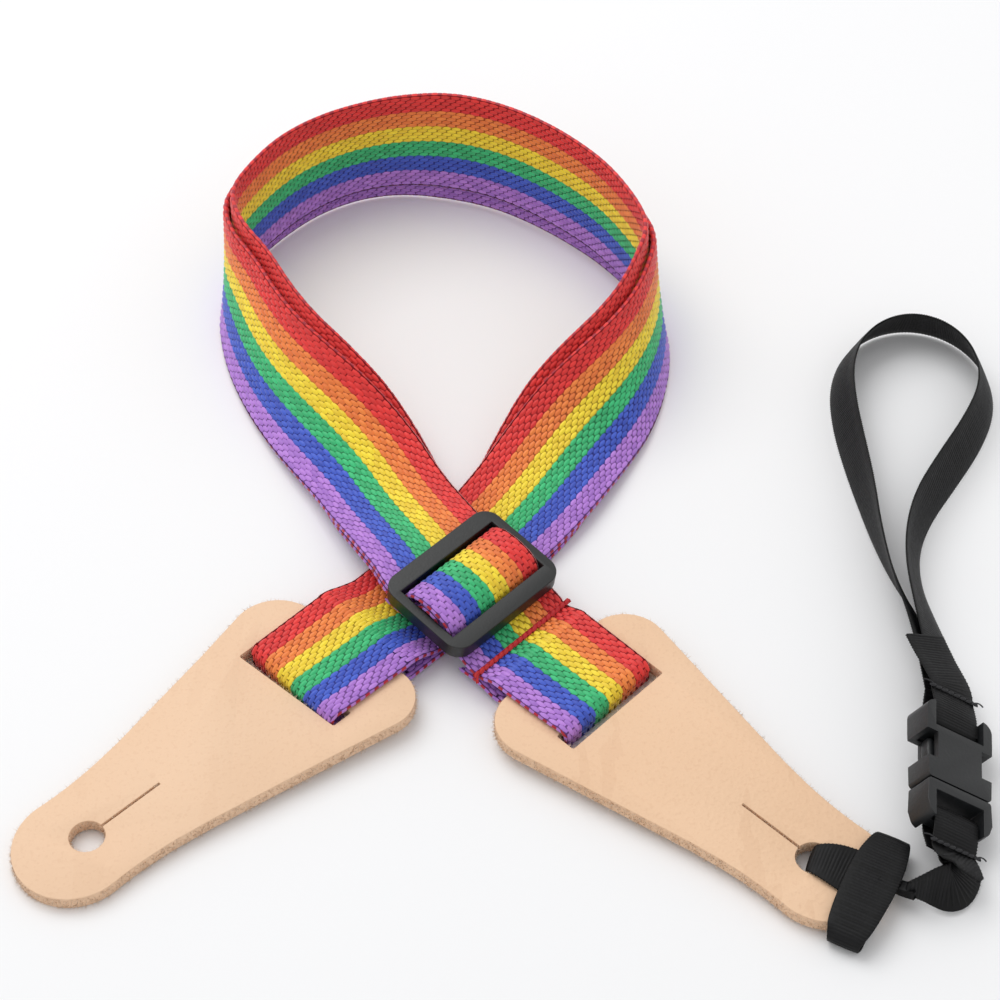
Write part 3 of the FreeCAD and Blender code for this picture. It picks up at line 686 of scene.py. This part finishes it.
runRows = [(70.5, 5.75), (71.6, 5.5), (73.2, 4.6), (74.9, 4.15), (76.8, 4.45)]
runPoints = [alongTab(u, z) for u, z in runRows] + [onSlider(-10.0, -2.6), onSlider(-7.5, -2.6)]
runRoute = Route(runPoints, [tabAcross] * len(runPoints), webbingValues["width"], 8)
finishStrip(woven("webbing_tail_run", runRoute, -1, 31), "webbing", "webbing", "webbing_tail_run")
endRows = [(70.5, 1.35), (71.6, 1.5), (73.2, 2.1), (74.9, 2.4), (77.2, 2.4), (79.0, 2.3)]
endRoute = Route([alongTab(u, z) for u, z in endRows], [tabAcross] * len(endRows), webbingValues["width"])
finishStrip(woven("webbing_folded_end", endRoute, -1, 37), "webbing", "webbing", "webbing_folded_end")
print("webbing at the slots and the slider ready")

# one stitch per pitch, turned a little across the seam
seamValues = {"pitch": 1.35, "length": 1.7, "width": 1.0, "height": 0.62, "twist": 22.0, "half": 12.5,
              "tailRadius": 0.28}


def seam(label, start, end, up, material, values):
    route = Route([start.lerp(end, share) for share in (0, 0.3, 0.7, 1)], [(end - start).cross(up)] * 4, 1.0, 6)
    lines = [(0.0, 0.0, face, 0.0, 0, 1.0, 0.0) for face in (1, -1)]
    mesh = applied(label, threadLines(label, route, lines), threads, {
        "Count": round(route.length / mm / values["pitch"]) + 1, "Every": 1, "Length": values["length"] * mm,
        "Width": values["width"] * mm, "Height": values["height"] * mm, "Twist": radians(values["twist"]),
        "Seed": 2, "Material": material})
    return newPiece(label, mesh, material)


def tail(label, points, radius, material):
    line = bpy.data.curves.new(label, "CURVE")
    line.dimensions = "3D"
    line.bevel_depth = radius * mm
    line.bevel_resolution = 2
    line.use_fill_caps = True
    spline = line.splines.new("NURBS")
    spline.points.add(len(points) - 1)
    for knot, place in zip(spline.points, points):
        knot.co = (*((place + centring) * mm), 1)
    spline.order_u = 3
    spline.use_endpoint_u = True
    holder = bpy.data.objects.new(label, line)
    scene.collection.objects.link(holder)
    mesh = bpy.data.meshes.new_from_object(holder)
    bpy.data.objects.remove(holder)
    mesh.shade_smooth()
    return newPiece(label, mesh, material)


seamMiddle = alongTab(74.9, 5.05)
seamHalf = tabAcross * seamValues["half"]
tabSeam = seam("tab_seam", seamMiddle - seamHalf, seamMiddle + seamHalf, Vector((0, 0, 1)), redThread, seamValues)
tabEnd = tail("tab_seam_end", [alongTab(74.9, 5.3, 12.2), alongTab(74.5, 5.0, 13.0), alongTab(73.8, 4.2, 13.5)],
              seamValues["tailRadius"], redThread)
finishStrip(joined([tabSeam, tabEnd]), "webbing", "red_thread", "tab_stitch")


def onBuckle(x, y, z):
    return bucklePlace @ Vector((x, y, z))


buckleAcross = bucklePlace.to_3x3() @ Vector((1, 0, 0))
buckleUp = bucklePlace.to_3x3() @ Vector((0, 0, 1))
foldSeamValues = {"pitch": 1.5, "length": 1.5, "width": 0.7, "height": 0.4, "twist": 14.0, "half": 4.9,
                  "tailRadius": 0.14}
for label, body, y, z, node in (("socket_seam", "socket", 22.0, 1.35, "socket_fold_stitch"),
                                ("plug_seam", "tether", -12.0, 1.6, "plug_fold_stitch")):
    half = foldSeamValues["half"]
    line = seam(label, onBuckle(-half, y, z), onBuckle(half, y, z), buckleUp, blackThread, foldSeamValues)
    ends = [tail(label + "_end", [onBuckle(side * 4.6, y, z + 0.1), onBuckle(side * 5.8, y + 0.8, z + 0.2),
                                  onBuckle(side * 7.0, y + 0.4, z - 0.2)],
                 foldSeamValues["tailRadius"], blackThread) for side in (-1, 1)]
    finishStrip(joined([line] + ends), body, "black_thread", node)
print("seams ready")

# ribbon folds on the buckle, in its frame: along it, height
socketFold = [(22.0, -1.1), (19.0, -1.75), (17.6, -1.8), (14.0, -1.8), (13.3, -1.1), (13.2, 0.0), (13.3, 1.1),
              (14.0, 1.8), (17.6, 1.8), (19.5, 1.4), (22.0, 0.75), (24.5, 0.6)]
foldPoints = [onBuckle(0, y, z) for y, z in socketFold]
foldPoints += [onBuckle(-1.8, 28.0, 0.0), onBuckle(-3.2, 31.5, -0.9), onBuckle(-4.6, 35.0, -1.5)]
foldAcross = [buckleAcross] * len(socketFold)
foldAcross += [bucklePlace.to_3x3() @ Vector((1, y, 0)) for y in (0.12, 0.25, 0.3)]
finishStrip(ribbed("socket_fold", Route(foldPoints, foldAcross, ribbonValues["width"]), 7), "socket", "ribbon",
            "ribbon_socket_fold")
plugFold = [(-12.2, -0.55), (-10.2, -1.2), (-8.8, -1.7), (-5.4, -1.75), (-4.4, -1.2), (-4.15, 0.0), (-4.4, 1.2),
            (-5.4, 1.7), (-8.8, 1.7), (-10.2, 1.35), (-12.2, 0.9), (-12.6, 0.95)]
plugPoints = [onBuckle(0, y, z) for y, z in plugFold] + [onBuckle(2.4, -14.2, 1.9), onBuckle(4.9, -16.6, 2.2)]
plugSpans = [ribbonValues["width"]] * len(plugFold) + [6.5, 2.0]  # the loose end is cut to a point
plugRoute = Route(plugPoints, [buckleAcross] * len(plugPoints), plugSpans)
finishStrip(ribbed("plug_fold", plugRoute, 9), "tether", "ribbon", "ribbon_plug_fold")

# tether: x, y, z, lean
tetherRows = [
    (91.1, -90.8, 3.2, 32),
    (90.8, -93.2, 3.5, 36),
    (89.4, -95.6, 4.0, 44),
    (86.4, -95.9, 4.9, 64),
    (83.6, -96.4, 5.3, 76),
    (81.0, -96.7, 5.3, 80),
]
tetherSpans = [10.0, 10.0, 9.6, 8.6, 6.2, 3.4]
tetherRoute = Route(*turned(tetherRows, -1), tetherSpans)
finishStrip(ribbed("tether", tetherRoute, 13), "tether", "ribbon", "ribbon_tether")

# hitch round the right tab: the band out of the hole, the band across it and the rolled strand to the tether
holeBand = [(64.5, -89.0, 1.2), (64.4, -89.1, 3.2), (65.0, -89.4, 4.3), (68.0, -90.6, 4.6), (71.0, -92.0, 4.15),
            (73.5, -93.4, 4.1)]
holeSpans = [4.0, 4.8, 6.4, 8.6, 10.0, 10.0]
holeRoute = Route([Vector(row) for row in holeBand], [Vector((-0.35, -0.94, 0))] * len(holeBand), holeSpans)
finishStrip(ribbed("hole_band", holeRoute, 15), "tab_right", "ribbon", "hitch_hole_band")
bandMiddle = Vector((74.8, -94.8, 0))
bandLine = Vector((0.46, 0.888, 0))
bandRows = [(-3.0, 0.37), (9.4, 0.37), (10.9, 0.8), (11.5, 2.2), (11.2, 3.7), (9.6, 4.75), (4.5, 5.1), (-2.0, 4.95),
            (-10.4, 4.55), (-12.4, 3.6), (-13.0, 2.1), (-12.4, 0.8), (-10.8, 0.37), (-4.0, 0.37)]
bandPoints = [bandMiddle + bandLine * along + Vector((0, 0, height)) for along, height in bandRows]
bandSpans = [6.0, 6.5, 6.0, 5.5, 6.0, 7.5, 9.6, 9.8, 8.4, 6.6, 6.0, 6.0, 6.5, 6.0]
bandRoute = Route(bandPoints, [Vector((0.888, -0.46, 0))] * len(bandPoints), bandSpans)
finishStrip(ribbed("cross_band", bandRoute, 19), "tab_right", "ribbon", "hitch_cross_band")
strandRows = [(76.6, -93.4, 4.3), (78.6, -94.6, 3.8), (80.4, -95.8, 3.7), (82.4, -96.5, 4.0)]
strandSpans = [3.6, 2.6, 2.4, 3.0]
strandThickness = 1.6
strandRoute = Route([Vector(row) for row in strandRows], [Vector((-0.5, -0.86, 0.2))] * len(strandRows), strandSpans)
strand = ribbed("rolled_strand", strandRoute, 21, strandThickness)
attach(strand, "tether")
print("ribbon folds and hitch ready")


# moulded and cut pieces keep the CAD shape, with softened edges
softenedValues = {"doubles": 2e-6, "flatWithin": 1.5, "bevelFrom": 35, "sharpFrom": 40, "cutRise": 0.8, "sideRise": 0.3}


def softened(label, node, width, segments, material):
    values = softenedValues
    shape = bmesh.new()
    shape.from_mesh(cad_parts[node].data)
    bmesh.ops.remove_doubles(shape, verts=shape.verts, dist=values["doubles"])
    bmesh.ops.dissolve_limit(shape, angle_limit=radians(values["flatWithin"]), verts=shape.verts, edges=shape.edges)
    mesh = bpy.data.meshes.new(label)
    shape.to_mesh(mesh)
    shape.free()
    holder = bpy.data.objects.new(label, mesh)
    scene.collection.objects.link(holder)
    bevel = holder.modifiers.new("edges", "BEVEL")
    bevel.width = width * mm
    bevel.segments = segments
    bevel.limit_method = "ANGLE"
    bevel.angle_limit = radians(values["bevelFrom"])
    bpy.context.view_layer.update()
    seen = holder.evaluated_get(bpy.context.evaluated_depsgraph_get())
    result = bpy.data.meshes.new_from_object(seen)
    bpy.data.objects.remove(holder)
    result.materials.clear()
    result.shade_smooth()
    result.set_sharp_from_angle(angle=radians(values["sharpFrom"]))
    rises = [face.normal.z for face in result.polygons]
    cuts = [float(rise < values["cutRise"]) for rise in rises]  # all but the top
    sides = [float(abs(rise) < values["sideRise"]) for rise in rises]
    result.attributes.new("cut", "FLOAT", "FACE").data.foreach_set("value", cuts)
    result.attributes.new("side", "FLOAT", "FACE").data.foreach_set("value", sides)
    return newPiece(label, result, material)


leatherValues = {"edge": 0.22, "segments": 2, "fibreDensity": 6.5e6, "fibreLength": 0.75, "fibreThickness": 0.055}
for side, leather in (("left", leftLeather), ("right", rightLeather)):
    piece = softened("tab_" + side, "leather_tab_" + side, leatherValues["edge"],
                     leatherValues["segments"], leather)
    hairs = applied("fibres_" + side, piece.data, fibres, {
        "Density": leatherValues["fibreDensity"], "Length": leatherValues["fibreLength"] * mm,
        "Thickness": leatherValues["fibreThickness"] * mm, "Seed": 4, "Material": fibreMaterial})
    finishStrip(joined([piece, newPiece("fibres_" + side, hairs, fibreMaterial)]), "tab_" + side, "leather",
                "leather_tab_" + side)

sliderValues = {"edge": 0.95, "segments": 5}
sliderPiece = softened("slider", "slider_frame", sliderValues["edge"], sliderValues["segments"], sliderMaterial)
finishStrip(sliderPiece, "slider", "slider_plastic", "slider_frame")
buckleValues = {"edge": 0.6, "segments": 4}
for label, node, body in (("socket", "buckle_socket", "socket"), ("plug", "buckle_plug", "tether"),
                          ("arm_left", "release_arm_left", "arm_left"),
                          ("arm_right", "release_arm_right", "arm_right")):
    shell = softened(label + "_shell", node, buckleValues["edge"], buckleValues["segments"], buckleMaterial)
    finishStrip(shell, body, "buckle_plastic", node)
print("leather, slider and buckle ready")

lightValues = {"world": 0.74, "inGloss": 0.1, "lampPower": 5.6, "lampSize": 0.9, "lampPlace": (-0.35, 0.45, 0.95),
               "floor": (247, 247, 248), "floorCloud": (232, 234, 236), "floorSize": 3.0}


def floorLook(wire):
    cloud = noise(wire, 3.0, 2)
    return {"Base Color": mixed(wire, cloud * 0.3, shade(*lightValues["floor"]), shade(*lightValues["floorCloud"]))}


floorShape = bmesh.new()
bmesh.ops.create_grid(floorShape, x_segments=2, y_segments=2, size=lightValues["floorSize"])
floorMesh = bpy.data.meshes.new("table")
floorShape.to_mesh(floorMesh)
floorShape.free()
floor = newPiece("table", floorMesh, newMaterial("table_top", floorLook, Roughness=0.6, Specular_IOR_Level=0.2))

lamp = bpy.data.objects.new("lamp", bpy.data.lights.new("lamp", "AREA"))
lamp.data.energy = lightValues["lampPower"]
lamp.data.size = lightValues["lampSize"]
lamp.location = lightValues["lampPlace"]
lamp.rotation_euler = Vector(lightValues["lampPlace"]).to_track_quat("Z", "Y").to_euler()
scene.collection.objects.link(lamp)

world = bpy.data.worlds.new("room")
world.use_nodes = True
scene.world = world
sky = Wire(world.node_tree)
ray = sky.node("ShaderNodeLightPath")
glossy = sky.node("ShaderNodeLightPath", output=3)
background = world.node_tree.nodes["Background"]
background.inputs["Color"].default_value = (1, 1, 1, 1)
strength = lightValues["world"] + ray * (1 - lightValues["world"]) + glossy * lightValues["inGloss"]
world.node_tree.links.new(strength.socket, background.inputs["Strength"])
scene.view_settings.view_transform = "Standard"
print("table and light ready")

print("scene ready")
